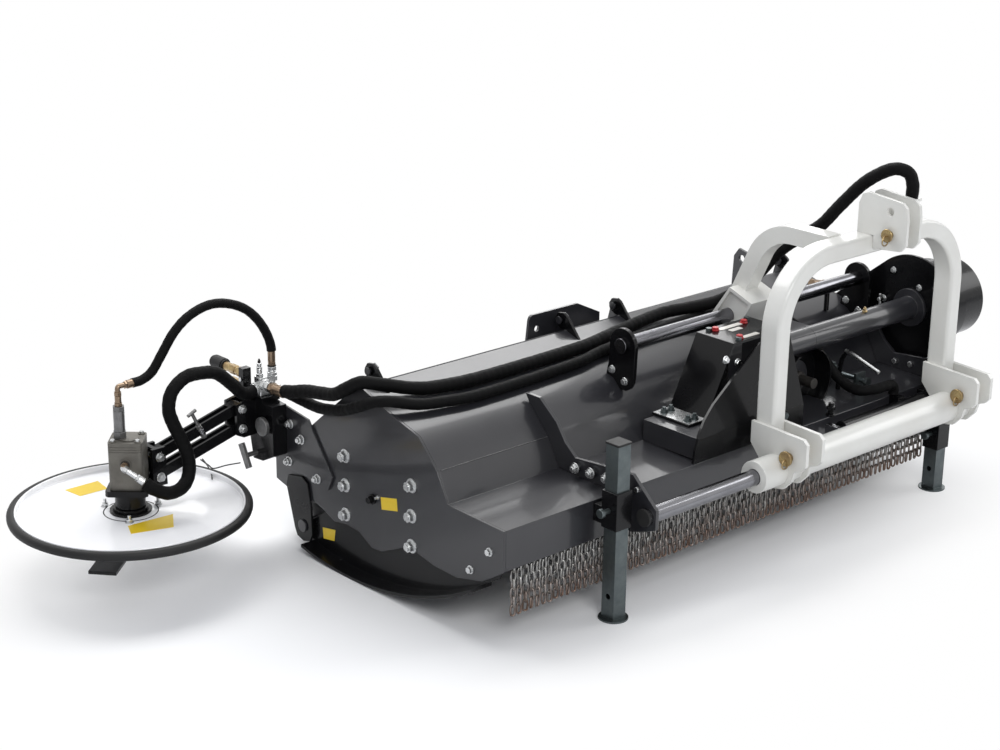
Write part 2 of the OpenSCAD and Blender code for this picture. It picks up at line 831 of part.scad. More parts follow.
housing_shell();
near_side_plate();
far_side_plate();
side_nuts();
skids();
rail_brackets();
bracket_bolts();
front_rail();
leg_sleeves();
leg_pins();
near_leg();
far_leg();
upper_rail();
upper_rail_brackets();
gearbox_plinth();
gearbox_stand();
gearbox_gusset();
gearbox_case();
gearbox_bolts();
pto_shield();
pto_shaft();
drive_tube();
cross_shaft();
belt_guard_plate();
belt_cover();
lower_pulley();
drive_belts();
belt_tensioner();
shift_cylinder();
shift_rod();
rotor_drum();
rotor_lugs();
front_flails();
rear_flails();
chain_curtain();
hinge_ears();
rear_hood();
rear_roller();
roller_brackets();
hitch_beam();
hitch_hoop();
lower_clevises();
top_clevis();
lower_pins();
top_pin();
hitch_strut();
arm_plate();
arm_carrier();
turn_knob();
clamp_handle();
upper_arm();
lower_arm();
disc_head();
disc_motor();
guard_disc();
cutting_blade();
valve_block();
arm_hoses();
feed_hose();
shift_hose();
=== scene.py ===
# %% [markdown]
# # A tractor mulcher with a side disc
# The frame holds every rigid solid of the machine at its true size. This lesson dresses it: it puts a
# camera where the photographer stood, gives each solid rounded edges and a real finish, and models the
# things that solids alone show badly, such as hoses, chains, fittings and nuts.

# %% Load the frame
import json
import math
import random
import bmesh
import bpy
from mathutils import Matrix, Vector


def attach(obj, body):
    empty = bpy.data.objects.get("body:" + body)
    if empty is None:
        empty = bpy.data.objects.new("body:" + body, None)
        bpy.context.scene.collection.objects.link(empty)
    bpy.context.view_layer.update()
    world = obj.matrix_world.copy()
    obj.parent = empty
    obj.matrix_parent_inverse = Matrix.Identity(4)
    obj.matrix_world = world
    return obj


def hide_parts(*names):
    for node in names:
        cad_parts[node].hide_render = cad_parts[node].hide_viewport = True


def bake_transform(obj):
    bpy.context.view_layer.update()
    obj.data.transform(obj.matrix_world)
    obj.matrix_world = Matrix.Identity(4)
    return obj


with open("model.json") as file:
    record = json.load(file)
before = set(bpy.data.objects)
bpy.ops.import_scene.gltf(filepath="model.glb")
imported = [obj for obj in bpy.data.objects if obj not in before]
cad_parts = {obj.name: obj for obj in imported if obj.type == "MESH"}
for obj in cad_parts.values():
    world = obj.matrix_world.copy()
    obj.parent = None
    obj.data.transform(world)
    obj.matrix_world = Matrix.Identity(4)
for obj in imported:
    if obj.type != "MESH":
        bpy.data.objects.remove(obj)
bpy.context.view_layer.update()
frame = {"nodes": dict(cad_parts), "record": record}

# %% [markdown]
# The maker's drawings count in millimetres from the near end of the machine, and the frame counts in
# metres from the middle of its box. One helper turns the first into the second, so that every number
# below can be read as a workshop measure.

# %% Workshop measures
MM = 0.001
MIDDLE_X, MIDDLE_Y = 691.0, 621.5


def at(x, y, z):
    """A point of the machine, in millimetres, as a point of the frame."""
    return Vector(((x - MIDDLE_X) * MM, (y - MIDDLE_Y) * MM, z * MM))


print("near front corner is at", tuple(round(c, 3) for c in at(0, 0, 357)))

# %% [markdown]
# The photographer stood in front of the left end, a little above the machine, with a long lens. The
# camera's place was worked out from edges whose real lengths are known, such as the hitch spacing.

# %% Camera
CAMERA_AT = at(-3469.0, -3774.7, 2594.6)
TURN, DROP, ROLL = math.radians(-42.4), math.radians(19.1), math.radians(0.7)
look = Vector((-math.sin(TURN) * math.cos(DROP), math.cos(TURN) * math.cos(DROP), -math.sin(DROP)))
flat_right = look.cross(Vector((0, 0, 1))).normalized()
flat_up = flat_right.cross(look)
right = flat_right * math.cos(ROLL) + flat_up * math.sin(ROLL)
up = flat_up * math.cos(ROLL) - flat_right * math.sin(ROLL)
lens = bpy.data.cameras.new("camera")
lens.sensor_width = 36.0
lens.lens = 72.14
camera = bpy.data.objects.new("camera", lens)
camera.matrix_world = Matrix((right, up, -look)).transposed().to_4x4()
camera.location = CAMERA_AT
bpy.context.scene.collection.objects.link(camera)
bpy.context.scene.camera = camera
print("camera at", tuple(round(c, 2) for c in camera.location))

# %% [markdown]
# Paint, plating and cast iron all vary a little over their surface. One node group makes that
# variation from noise on object coordinates: a colour, a roughness and a fine bump. Each finish
# places the group with its own values, and keeps its shader to itself.

# %% A node group for uneven surfaces


def uneven_group():
    """Noise on object coordinates, as a node group that mixes two colours and varies roughness and bump."""
    group = bpy.data.node_groups.new("uneven", "ShaderNodeTree")
    face = group.interface
    for name, kind, value in (
        ("Colour", "NodeSocketColor", (0.5, 0.5, 0.5, 1)),
        ("Second colour", "NodeSocketColor", (0.4, 0.4, 0.4, 1)),
        ("Patch size", "NodeSocketFloat", 4.0),
        ("Patch amount", "NodeSocketFloat", 0.5),
        ("Roughness", "NodeSocketFloat", 0.4),
        ("Roughness spread", "NodeSocketFloat", 0.1),
        ("Grain size", "NodeSocketFloat", 300.0),
        ("Grain depth", "NodeSocketFloat", 0.02),
    ):
        face.new_socket(name, in_out="INPUT", socket_type=kind).default_value = value
    for name, kind in (("Colour", "NodeSocketColor"), ("Roughness", "NodeSocketFloat"), ("Normal", "NodeSocketVector")):
        face.new_socket(name, in_out="OUTPUT", socket_type=kind)
    n, link = group.nodes, group.links.new
    inside, outside = n.new("NodeGroupInput"), n.new("NodeGroupOutput")
    place = n.new("ShaderNodeTexCoord")
    patches = n.new("ShaderNodeTexNoise")
    patches.inputs["Detail"].default_value = 6.0
    patches.inputs["Roughness"].default_value = 0.62
    link(place.outputs["Object"], patches.inputs["Vector"])
    link(inside.outputs["Patch size"], patches.inputs["Scale"])
    ramp = n.new("ShaderNodeMapRange")
    ramp.inputs["From Min"].default_value = 0.35
    ramp.inputs["From Max"].default_value = 0.72
    link(patches.outputs["Fac"], ramp.inputs["Value"])
    amount = n.new("ShaderNodeMath")
    amount.operation = "MULTIPLY"
    link(ramp.outputs["Result"], amount.inputs[0])
    link(inside.outputs["Patch amount"], amount.inputs[1])
    mix = n.new("ShaderNodeMix")
    mix.data_type = "RGBA"
    link(amount.outputs[0], mix.inputs["Factor"])
    link(inside.outputs["Colour"], mix.inputs["A"])
    link(inside.outputs["Second colour"], mix.inputs["B"])
    link(mix.outputs["Result"], outside.inputs["Colour"])
    rough = n.new("ShaderNodeMath")
    rough.operation = "MULTIPLY_ADD"
    link(ramp.outputs["Result"], rough.inputs[0])
    link(inside.outputs["Roughness spread"], rough.inputs[1])
    link(inside.outputs["Roughness"], rough.inputs[2])
    link(rough.outputs[0], outside.inputs["Roughness"])
    grain = n.new("ShaderNodeTexNoise")
    grain.inputs["Detail"].default_value = 3.0
    link(place.outputs["Object"], grain.inputs["Vector"])
    link(inside.outputs["Grain size"], grain.inputs["Scale"])
    bump = n.new("ShaderNodeBump")
    bump.inputs["Distance"].default_value = 0.001
    link(inside.outputs["Grain depth"], bump.inputs["Strength"])
    link(grain.outputs["Fac"], bump.inputs["Height"])
    link(bump.outputs["Normal"], outside.inputs["Normal"])
    return group


uneven = uneven_group()
print("group", uneven.name, "with", len(uneven.nodes), "nodes")

# %% [markdown]
# A finish is a Principled shader fed by that group. Numbers that are the same all over, such as the
# metallic part or the clear coat, are set on the shader itself.

# %% Finishes


def finish(name, colour, second, patch=(4.0, 0.5), rough=(0.4, 0.1), grain=(300.0, 0.02), **shader):
    """A material: two colours, then (patch size, amount), (roughness, spread) and (grain size, depth)."""
    material = bpy.data.materials.new(name)
    material.use_nodes = True
    nodes, link = material.node_tree.nodes, material.node_tree.links.new
    bsdf = nodes["Principled BSDF"]
    surface = nodes.new("ShaderNodeGroup")
    surface.node_tree = uneven
    surface.inputs["Colour"].default_value = (*colour, 1)
    surface.inputs["Second colour"].default_value = (*second, 1)
    surface.inputs["Patch size"].default_value, surface.inputs["Patch amount"].default_value = patch
    surface.inputs["Roughness"].default_value, surface.inputs["Roughness spread"].default_value = rough
    surface.inputs["Grain size"].default_value, surface.inputs["Grain depth"].default_value = grain
    link(surface.outputs["Colour"], bsdf.inputs["Base Color"])
    link(surface.outputs["Roughness"], bsdf.inputs["Roughness"])
    link(surface.outputs["Normal"], bsdf.inputs["Normal"])
    for socket, value in shader.items():
        bsdf.inputs[socket.replace("_", " ")].default_value = value
    material.diffuse_color = (*colour, 1)
    return material


grey_paint = finish("grey_paint", (0.016, 0.016, 0.019), (0.026, 0.026, 0.03), (3, 0.7), (0.3, 0.08), (420, 0.12),
                    Specular_IOR_Level=0.35, Coat_Weight=0.5, Coat_Roughness=0.1)
black_paint = finish("black_paint", (0.0035, 0.0035, 0.004), (0.007, 0.007, 0.008), (5, 0.6), (0.2, 0.1), (420, 0.08),
                     Specular_IOR_Level=0.16, Coat_Weight=0.14, Coat_Roughness=0.05)
white_paint = finish("white_paint", (0.68, 0.68, 0.65), (0.61, 0.6, 0.56), (5, 0.6), (0.28, 0.1), (420, 0.07),
                     Coat_Weight=0.3, Coat_Roughness=0.08)
disc_paint = finish("disc_paint", (0.9, 0.9, 0.91), (0.84, 0.84, 0.85), (6, 0.5), (0.2, 0.08), (300, 0.05),
                    Coat_Weight=0.5, Coat_Roughness=0.05)
zinc_plate = finish("zinc_plate", (0.125, 0.145, 0.147), (0.08, 0.095, 0.1), (28, 0.8), (0.28, 0.18), (500, 0.15),
                    Metallic=0.9)
bright_zinc = finish("bright_zinc", (0.66, 0.67, 0.67), (0.5, 0.51, 0.52), (50, 0.8), (0.22, 0.16), (700, 0.15),
                     Metallic=1.0)
chrome = finish("chrome", (0.25, 0.25, 0.265), (0.17, 0.17, 0.185), (12, 0.6), (0.1, 0.12), (500, 0.03), Metallic=1.0)
dark_chrome = finish("dark_chrome", (0.2, 0.2, 0.215), (0.12, 0.12, 0.13), (10, 0.7), (0.16, 0.12), (500, 0.05),
                     Metallic=1.0)
yellow_zinc = finish("yellow_zinc", (0.42, 0.32, 0.16), (0.22, 0.14, 0.08), (45, 0.9), (0.24, 0.2), (500, 0.12),
                     Metallic=1.0)
brass = finish("brass", (0.3, 0.225, 0.16), (0.18, 0.125, 0.085), (60, 0.9), (0.25, 0.15), (500, 0.1), Metallic=1.0)
cast_iron = finish("cast_iron", (0.15, 0.142, 0.125), (0.09, 0.085, 0.075), (14, 0.8), (0.42, 0.16), (240, 0.5),
                   Metallic=0.55)
# the drum's own worn dark steel, made darker still as painted shade for the shade under the deck
worn_steel = finish("worn_steel", (0.075, 0.058, 0.046), (0.045, 0.028, 0.018), (18, 0.95), (0.42, 0.25), (300, 0.4),
                    Metallic=0.6)
dull_steel = finish("dull_steel", (0.2, 0.2, 0.2), (0.12, 0.12, 0.12), (30, 0.8), (0.34, 0.16), (400, 0.2),
                    Metallic=0.85)
dark_iron = finish("dark_iron", (0.03, 0.028, 0.026), (0.06, 0.055, 0.05), (30, 0.8), (0.4, 0.16), (400, 0.2),
                   Metallic=0.5)
rubber = finish("rubber", (0.009, 0.009, 0.0095), (0.018, 0.0175, 0.017), (10, 0.7), (0.5, 0.14), (260, 0.35),
                Specular_IOR_Level=0.3)
belt_rubber = finish("belt_rubber", (0.015, 0.015, 0.015), (0.03, 0.028, 0.026), (10, 0.7), (0.6, 0.1), (260, 0.3))
red_plastic = finish("red_plastic", (0.45, 0.015, 0.02), (0.36, 0.01, 0.015), (30, 0.5), (0.3, 0.1), (400, 0.05))
yellow_film = finish("yellow_film", (0.78, 0.55, 0.02), (0.7, 0.47, 0.02), (20, 0.5), (0.3, 0.1), (400, 0.03))
pale_film = finish("pale_film", (0.62, 0.6, 0.56), (0.5, 0.48, 0.44), (30, 0.6), (0.3, 0.1), (400, 0.03))
rose_film = finish("rose_film", (0.62, 0.26, 0.26), (0.5, 0.2, 0.2), (30, 0.6), (0.3, 0.1), (400, 0.03))
print("made", len(bpy.data.materials), "finishes")

# %% [markdown]
# Chains rust from below, where they drag through wet grass. Their finish blends bright steel into
# brown by height, and noise breaks the border.

# %% Chain finish


RUST = (0.13, 0.062, 0.035, 1)
ALL_STEEL_AT, ALL_RUST_AT, BORDER_SHIFT = 0.27, 0.12, 0.16


def chain_finish():
    """Bright steel above, rust below; the heights are in metres."""
    material = finish("chain_steel", (0.4, 0.4, 0.39), (0.12, 0.11, 0.1), (60, 0.9), (0.34, 0.2), (500, 0.3),
                      Metallic=0.85)
    nodes, link = material.node_tree.nodes, material.node_tree.links.new
    surface = next(n for n in nodes if n.type == "GROUP")
    place = nodes.new("ShaderNodeTexCoord")
    split = nodes.new("ShaderNodeSeparateXYZ")
    link(place.outputs["Object"], split.inputs["Vector"])
    cloud = nodes.new("ShaderNodeTexNoise")
    cloud.inputs["Scale"].default_value = 24.0
    link(place.outputs["Object"], cloud.inputs["Vector"])
    shifted = nodes.new("ShaderNodeMath")
    shifted.operation = "MULTIPLY_ADD"
    shifted.inputs[1].default_value = BORDER_SHIFT
    link(cloud.outputs["Fac"], shifted.inputs[0])
    link(split.outputs["Z"], shifted.inputs[2])
    low = nodes.new("ShaderNodeMapRange")
    low.inputs["From Min"].default_value = ALL_STEEL_AT
    low.inputs["From Max"].default_value = ALL_RUST_AT
    link(shifted.outputs[0], low.inputs["Value"])
    rust = nodes.new("ShaderNodeMix")
    rust.data_type = "RGBA"
    rust.inputs["B"].default_value = RUST
    link(low.outputs["Result"], rust.inputs["Factor"])
    link(surface.outputs["Colour"], rust.inputs["A"])
    link(rust.outputs["Result"], nodes["Principled BSDF"].inputs["Base Color"])
    return material


chain_steel = chain_finish()
print("chains turn brown towards the ground")

# %% [markdown]
# Every new piece goes the same way: a bmesh becomes a mesh whose place is in its points, its faces
# turn outwards, smooth shading stops at real edges, and the piece is told which body it rides on.
# Where a bevel rounds the edges, the wide flat faces keep the say over the shading.

# %% Making a piece
BEVEL_FROM = math.radians(36)


def add_piece(name, bm, paint, body, replaces=(), edge=0.0, smooth=32):
    """Makes an object of a bmesh; edge is a bevel in millimetres, smooth an angle in degrees."""
    mesh = bpy.data.meshes.new(name)
    bm.to_mesh(mesh)
    bm.free()
    mesh.materials.append(paint)
    mesh.shade_smooth()
    mesh.set_sharp_from_angle(angle=math.radians(smooth))
    piece = bpy.data.objects.new(name, mesh)
    bpy.context.scene.collection.objects.link(piece)
    if edge:
        bevel = piece.modifiers.new("rounded edges", "BEVEL")
        bevel.width = edge * MM
        bevel.segments = 2
        bevel.limit_method = "ANGLE"
        bevel.angle_limit = BEVEL_FROM
        even = piece.modifiers.new("even shading", "WEIGHTED_NORMAL")
        even.keep_sharp = True
    if body:
        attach(piece, body)
    if replaces:
        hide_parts(*replaces)
    return piece


BODY_OF = {node: body for body, nodes in frame["record"]["behaviour"]["bodies"].items() for node in nodes}

# %% [markdown]
# A solid from the frame has razor edges, which catch no light. A copy of it is merged, its flat
# triangles are joined, and a small bevel gives it the thin bright lines that pressed and cut steel
# shows. The copy then stands for the solid.

# %% Rounded copies of the solids
SAME_POINT, SAME_PLANE = 0.00002, math.radians(0.6)


def dress(node, paint, edge):
    """A painted copy of one solid, with edges rounded by so many millimetres."""
    bm = bmesh.new()
    bm.from_mesh(frame["nodes"][node].data)
    bmesh.ops.remove_doubles(bm, verts=bm.verts, dist=SAME_POINT)
    bmesh.ops.dissolve_limit(bm, angle_limit=SAME_PLANE, verts=bm.verts, edges=bm.edges,
                             use_dissolve_boundaries=False)
    return add_piece("dressed_" + node, bm, paint, BODY_OF[node], (node,), edge)


DRESSES = (
    (grey_paint, 1.2, "housing_shell near_side_plate far_side_plate gearbox_plinth rear_hood rear_roller arm_plate"),
    (grey_paint, 1.0, "rail_brackets"),
    (grey_paint, 0.8, "drive_tube gearbox_case"),
    (black_paint, 1.0, "skids leg_sleeves upper_rail_brackets gearbox_stand gearbox_gusset"),
    (black_paint, 1.0, "belt_guard_plate belt_cover shift_cylinder hinge_ears roller_brackets arm_carrier"),
    (black_paint, 1.0, "upper_arm lower_arm disc_head cutting_blade pto_shield rotor_lugs"),
    (white_paint, 1.6, "hitch_beam hitch_hoop lower_clevises top_clevis hitch_strut"),
    (zinc_plate, 1.4, "near_leg far_leg belt_tensioner leg_pins gearbox_bolts"),
    (bright_zinc, 1.2, "side_nuts bracket_bolts"),
    (chrome, 1.0, "front_rail shift_rod cross_shaft"),
    (dark_chrome, 1.0, "upper_rail"),
    (yellow_zinc, 1.2, "lower_pins top_pin"),
    (cast_iron, 2.0, "lower_pulley"),
    (dull_steel, 2.0, "turn_knob clamp_handle"),
    # painted shade: the PTO shaft is made dark so that it reads as the shade inside its shield
    (dark_iron, 1.0, "pto_shaft"),
    (worn_steel, 1.2, "rotor_drum front_flails rear_flails"),
    (belt_rubber, 1.0, "drive_belts"),
)
for paint, edge, names in DRESSES:
    for node in names.split():
        dress(node, paint, edge)
print("dressed", sum(len(names.split()) for _, _, names in DRESSES), "solids")

# %% [markdown]
# A hose follows a few points that a fitter would mark. A smooth curve through them is
# sampled closely, and the sleeve's wound ribs come from a radius that rises and falls along it.

# %% Routes and tubes
CURVE_STEPS = 24
ROUTE_STEP = 0.0035


def smooth_route(points, step):
    """A smooth line through given points, as evenly spaced points."""
    p = [points[0] * 2 - points[1]] + list(points) + [points[-1] * 2 - points[-2]]
    fine = []
    for i in range(1, len(p) - 2):
        for k in range(CURVE_STEPS):
            t = k / CURVE_STEPS
            fine.append(0.5 * (2 * p[i] + (p[i + 1] - p[i - 1]) * t
                               + (2 * p[i - 1] - 5 * p[i] + 4 * p[i + 1] - p[i + 2]) * t * t
                               + (3 * p[i] - p[i - 1] - 3 * p[i + 1] + p[i + 2]) * t ** 3))
    fine.append(points[-1])
    route, left = [fine[0]], step
    for a, b in zip(fine, fine[1:]):
        length = (b - a).length
        while length >= left:
            a = a + (b - a).normalized() * left
            length -= left
            route.append(a)
            left = step
        left -= length
    return route


def tube_mesh(name, route, radius, rib=0.0, ribs_every=6, sides=3):
    """A closed tube along a route; rib is how much its radius swells and shrinks in uneven wrinkles."""
    curve = bpy.data.curves.new(name, "CURVE")
    curve.dimensions = "3D"
    curve.bevel_depth = radius
    curve.bevel_resolution = sides
    curve.use_fill_caps = True
    spline = curve.splines.new("POLY")
    spline.points.add(len(route) - 1)
    for i, (point, spot) in enumerate(zip(spline.points, route)):
        point.co = (*spot, 1)
        point.radius = 1 - rib * (0.5 - 0.3 * math.cos(2 * math.pi * i / ribs_every) - 0.2 * math.sin(i * 0.37))
    holder = bpy.data.objects.new(name, curve)
    bpy.context.scene.collection.objects.link(holder)
    bpy.context.view_layer.update()
    mesh = bpy.data.meshes.new_from_object(holder.evaluated_get(bpy.context.evaluated_depsgraph_get()))
    bpy.data.objects.remove(holder)
    bm = bmesh.new()
    bm.from_mesh(mesh)
    bpy.data.meshes.remove(mesh)
    bmesh.ops.remove_doubles(bm, verts=bm.verts, dist=0.00001)
    bmesh.ops.recalc_face_normals(bm, faces=bm.faces)
    return bm


ROUTES = {
    "arm_top": [
        (-473.6, 1135, 600.1), (-440, 1134, 603), (-405, 1132, 622), (-370, 1129, 670), (-326, 1126, 730),
        (-272, 1123, 772), (-205, 1118, 794), (-140, 1112, 788), (-80, 1098, 760), (-36, 1084, 708),
        (-10, 1073, 640), (-8, 1072, 566.2)],
    "arm_side": [
        (-517, 1018, 324.4), (-500, 1003, 307), (-462, 987, 288), (-418, 988, 288), (-382, 1001, 305),
        (-364, 1013, 340), (-366, 1021, 385), (-380, 1029, 430), (-402, 1035, 485), (-412, 1038, 530),
        (-396, 1041, 580), (-345, 1046, 612), (-285, 1050, 612), (-225, 1056, 596), (-165, 1064, 545),
        (-118, 1072, 502), (-74, 1072, 502)],
    "hitch": [
        (-46, 1046, 518), (-46, 990, 518), (-44, 920, 532), (-40, 850, 552), (-38, 780, 564), (-38, 715, 578),
        (-34, 660, 610), (-12, 615, 636), (40, 575, 628), (120, 544, 608), (200, 524, 599), (380, 512, 594),
        (770, 517, 597), (900, 530, 601), (1010, 546, 606), (1210, 562, 616), (1310, 530, 624), (1395, 480, 642),
        (1445, 420, 690), (1460, 350, 765), (1460, 280, 845), (1454, 190, 915), (1454, 110, 970), (1470, 50, 1045),
        (1490, -25, 1130), (1518, -100, 1180), (1538, -148, 1176), (1545, -164, 1140), (1545, -164, 1098.2)],
    "side_shift": [
        (-2, 1046, 496), (-2, 990, 496), (-24, 830, 505), (-32, 750, 518), (-32, 680, 536), (-32, 610, 566),
        (-22, 550, 594), (10, 505, 602), (80, 472, 586), (170, 454, 579), (320, 441, 574), (710, 455, 578),
        (850, 478, 584), (1160, 504, 593), (1340, 504, 593), (1480, 480, 594), (1580, 410, 588),
        (1620, 310, 545), (1622, 210, 475), (1614, 120, 415), (1620, 50, 392), (1660, 10, 394),
        (1700, -2, 398), (1738, -4, 396), (1752, -4, 380), (1752, -4, 360.2)],
}
print("routes:", {name: len(points) for name, points in ROUTES.items()})

# %% [markdown]
# The sleeve is a woven nylon hose guard: nearly black, with a soft sheen and a fine weave.

# %% Sleeves over the hoses
sleeve = finish("sleeve", (0.003, 0.003, 0.0033), (0.006, 0.006, 0.006), (40, 0.8), (0.46, 0.2), (900, 0.8),
                Specular_IOR_Level=0.07)


WRINKLE, WRINKLE_POINTS = 0.045, 7


def add_hose(name, route, radius, node, bodies):
    """A sleeved hose on one body; a hose given two bodies crosses a joint and is left where it is, on neither."""
    tube = tube_mesh(name, route, radius * MM, WRINKLE, WRINKLE_POINTS, 5)
    piece = add_piece(name, tube, sleeve, None, (node,), smooth=70)
    if len(bodies) == 1:
        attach(piece, bodies[0])
    else:
        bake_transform(piece)


def halves(route):
    """A route cut at its middle; both halves keep the middle point."""
    middle = len(route) // 2
    return route[:middle + 1], route[middle:]


# Three sleeves stop short of the valve, where their fittings show.
lines = {name: smooth_route([at(*p) for p in points], ROUTE_STEP) for name, points in ROUTES.items()}
lines["arm_top"] = [p for p in lines["arm_top"] if p.x < at(-20, 0, 0).x or p.z > at(0, 0, 618).z]
lines["hitch"] = [p for p in lines["hitch"] if p.y < at(0, 956, 0).y or p.x > at(200, 0, 0).x]
lines["side_shift"] = [p for p in lines["side_shift"] if p.y < at(0, 1002, 0).y]
for name, radius in (("arm_top", 15), ("arm_side", 21)):
    far, near = halves(lines[name])
    add_hose(name + "_hose_outer_half", far, radius, "arm_hoses", ("head", "arm_upper"))
    add_hose(name + "_hose_inner_half", near, radius, "arm_hoses", ("arm_upper", "machine"))
add_hose("hitch_hose", lines["hitch"], 21, "feed_hose", ("machine", "hitch"))
add_hose("side_shift_hose", lines["side_shift"], 18, "shift_hose", ("machine",))

# %% [markdown]
# The curtain in front of the rotor is eighty short chains on a rod. One link is a ring of wire that is
# pulled long, a chain is that link repeated with quarter turns, and the curtain is that chain repeated.

# %% Chain curtain
LINK_PITCH, WIRE, HALF_WIDTH, HALF_STRAIGHT = 27.0, 3.2, 7.6, 9.0
CHAINS, LINKS, CHAIN_SPACING, FIRST_CHAIN = 80, 9, 24.08, 51
CURTAIN_Y, FIRST_LINK_Z, ROD_Z, ROD_MIDDLE, ROD_RADIUS, ROD_LENGTH = 14.5, 313, 325, 1005, 6, 1.982


def one_link(bm, centre, turned):
    """One link of a chain round a point; every other link is turned by a quarter."""
    wire_end = bmesh.ops.create_circle(
        bm, segments=6, radius=WIRE * MM,
        matrix=Matrix.Translation((HALF_WIDTH * MM, 0, 0)) @ Matrix.Rotation(math.pi / 2, 4, "X"))["verts"]
    bmesh.ops.spin(bm, geom=list({e for v in wire_end for e in v.link_edges}) + wire_end,
                   cent=(0, 0, 0), axis=(0, 0, 1), angle=2 * math.pi, steps=10, use_merge=True)
    verts = list({v for v in bm.verts if not v.tag})
    for v in verts:
        v.tag = True
        v.co.y += math.copysign(HALF_STRAIGHT * MM, v.co.y) if abs(v.co.y) > 1e-6 else 0
        v.co = Vector((v.co.x, v.co.z, v.co.y))
    if turned:
        bmesh.ops.rotate(bm, verts=verts, matrix=Matrix.Rotation(math.pi / 2, 3, "Z"))
    bmesh.ops.translate(bm, verts=verts, vec=centre)


def chain_curtain():
    """All the chains on their rod, each with a small turn and drop of its own."""
    chain = bmesh.new()
    for k in range(LINKS):
        one_link(chain, Vector((0, 0, -k * LINK_PITCH * MM)), k % 2)
    bmesh.ops.recalc_face_normals(chain, faces=chain.faces)
    pattern = bpy.data.meshes.new("pattern")
    chain.to_mesh(pattern)
    chain.free()
    curtain = bmesh.new()
    draw = random.Random(4)
    for i in range(CHAINS):
        first = len(curtain.verts)
        curtain.from_mesh(pattern)
        curtain.verts.ensure_lookup_table()
        verts = curtain.verts[first:]
        bmesh.ops.rotate(curtain, verts=verts, matrix=Matrix.Rotation(draw.uniform(-0.5, 0.5), 3, "Z"))
        bmesh.ops.translate(curtain, verts=verts, vec=at(
            FIRST_CHAIN + i * CHAIN_SPACING, CURTAIN_Y, FIRST_LINK_Z + draw.uniform(-2, 2)))
    place = Matrix.Translation(at(ROD_MIDDLE, CURTAIN_Y, ROD_Z)) @ Matrix.Rotation(math.pi / 2, 4, "Y")
    bmesh.ops.create_cone(curtain, cap_ends=True, segments=16, radius1=ROD_RADIUS * MM, radius2=ROD_RADIUS * MM,
                          depth=ROD_LENGTH, matrix=place)
    bpy.data.meshes.remove(pattern)
    return curtain


curtain = add_piece("chains", chain_curtain(), chain_steel, "curtain", ("chain_curtain",), smooth=60)
print("the curtain has", len(curtain.data.polygons), "faces")

# %% [markdown]
# Nuts, fittings and pins are turned parts: an outline is spun round an axis. With six steps the same
# spin gives a hexagon with its chamfer, so one helper makes washers, nuts and ferrules. A fitting is
# then a stack of such parts, written as (radius, length, sides) from one end to the other.

# %% Turned parts
ROUND, HEX = 32, 6


def join(bm, part):
    """Adds one bmesh to another."""
    passing = bpy.data.meshes.new("passing")
    part.to_mesh(passing)
    part.free()
    bm.from_mesh(passing)
    bpy.data.meshes.remove(passing)


def turned(bm, spot, axis, outline, steps=ROUND):
    """An outline of (radius, height) in millimetres, spun round an axis that starts at a spot."""
    part = bmesh.new()
    verts = [part.verts.new((r * MM, 0, h * MM)) for r, h in outline]
    edges = [part.edges.new(pair) for pair in zip(verts, verts[1:])]
    bmesh.ops.spin(part, geom=verts + edges, cent=(0, 0, 0), axis=(0, 0, 1), angle=2 * math.pi, steps=steps,
                   use_merge=True)
    bmesh.ops.remove_doubles(part, verts=part.verts, dist=0.00001)
    bmesh.ops.recalc_face_normals(part, faces=part.faces)
    turn = Vector((0, 0, 1)).rotation_difference(Vector(axis)).to_matrix().to_4x4()
    bmesh.ops.transform(part, matrix=Matrix.Translation(at(*spot)) @ turn, verts=part.verts)
    join(bm, part)


def stack(bm, spot, axis, rings):
    """Turned parts one on another, each (radius, length, sides)."""
    along, height = Vector(axis).normalized(), 0.0
    for radius, length, sides in rings:
        edge = min(1.2, length / 4, radius / 4)
        turned(bm, Vector(spot) + along * height, along,
               [(0, 0), (radius - edge, 0), (radius, edge), (radius, length - edge), (radius - edge, length),
                (0, length)], sides)
        height += length


def hardware(name, paint, body, jobs, replaces=()):
    """One piece made of stacks, each (spot, axis, rings)."""
    bm = bmesh.new()
    for spot, axis, rings in jobs:
        stack(bm, spot, axis, rings)
    return add_piece(name, bm, paint, body, replaces)


def ring(bm, spot, axis, radius, thickness):
    """A round wire bent into a ring; both measures are radii."""
    turned(bm, spot, axis, [(radius + thickness * math.cos(k * math.pi / 4), thickness * math.sin(k * math.pi / 4))
                            for k in range(9)], 24)


UP, DOWN, NEAR, FAR, FRONT, REAR = (0, 0, 1), (0, 0, -1), (-1, 0, 0), (1, 0, 0), (0, -1, 0), (0, 1, 0)
print("helpers for turned parts are ready")

# %% [markdown]
# Flat things need two more helpers: a block with rounded corners, for cast housings and plates, and a
# label, which is a cube squeezed flat between four corners. Labels stay plain, without words or signs.

# %% Blocks, labels and bent wires


def rounded_block(bm, low, high, corner, turn=0.0, about=(0, 0)):
    """A block between two corners in millimetres; its upright edges are rounded, and it may be turned."""
    part = bmesh.new()
    size = Vector(high) - Vector(low)
    centre = (Vector(high) + Vector(low)) / 2
    bmesh.ops.create_cube(part, size=1.0, matrix=Matrix.Translation(centre) @ Matrix.Diagonal((*size, 1)))
    if corner:
        upright = [e for e in part.edges if abs(e.verts[0].co.z - e.verts[1].co.z) > size.z / 2]
        bmesh.ops.bevel(part, geom=upright, offset=corner, affect="EDGES", segments=5, profile=0.5, material=-1)
    pivot = Vector((*about, 0))
    bmesh.ops.rotate(part, verts=part.verts, cent=pivot, matrix=Matrix.Rotation(math.radians(turn), 3, "Z"))
    for v in part.verts:
        v.co = at(*v.co)
    join(bm, part)


